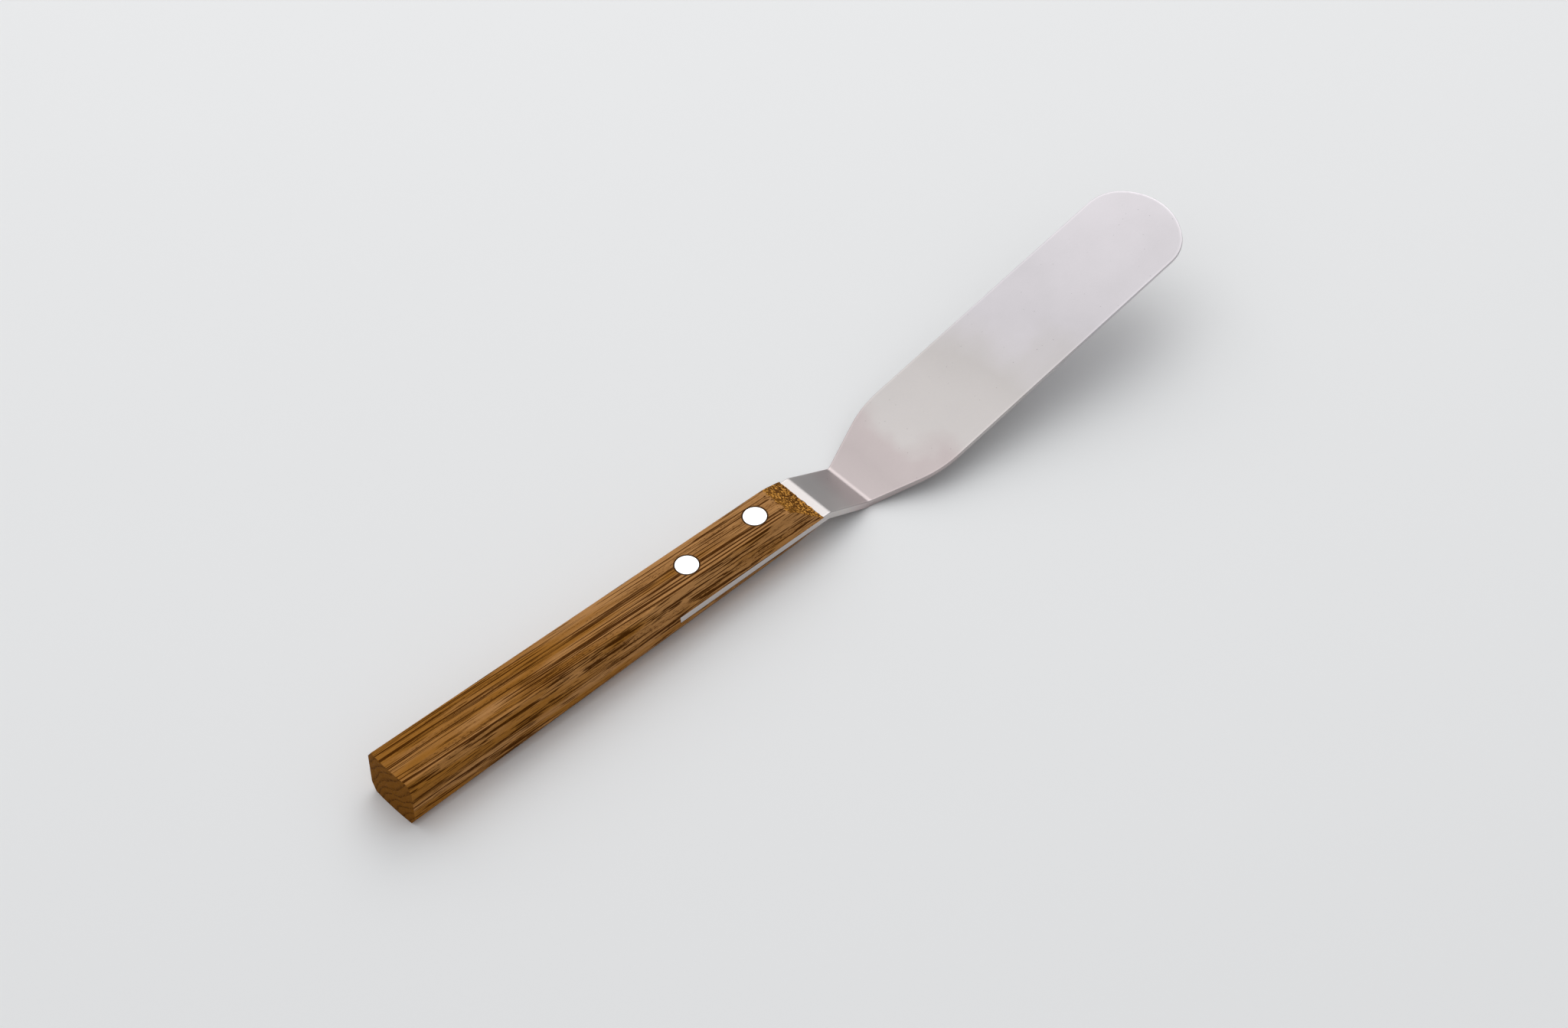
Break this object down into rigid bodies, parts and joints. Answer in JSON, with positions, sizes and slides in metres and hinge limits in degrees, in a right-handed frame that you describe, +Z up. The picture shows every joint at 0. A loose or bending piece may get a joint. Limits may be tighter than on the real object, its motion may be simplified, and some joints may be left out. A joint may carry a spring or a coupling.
{
  "type": "palette knife",
  "caption": "Cranked palette knife: a slotted oak handle with chamfered edges, two flush cutler's rivets and a round-ended flexible steel blade.",
  "frame": {"origin": "on the surface the knife rests on, under the middle of its length and on its centre line", "axes": "+X from the handle's butt to the blade's tip, +Z up with the handle's top face level, +Y to the left of the blade"},
  "size_m": [0.2548, 0.0296, 0.0259],
  "materials": {
    "oak": "oiled oak, open grain",
    "blade_steel": "fine satin",
    "rivet_metal": "polished flush"
  },
  "bodies": {
    "root": {"handle": "oak", "blade": "blade_steel", "rear_rivet_tube": "rivet_metal", "rear_rivet_pin": "rivet_metal", "front_rivet_tube": "rivet_metal", "front_rivet_pin": "rivet_metal"}
  },
  "joints": []
}
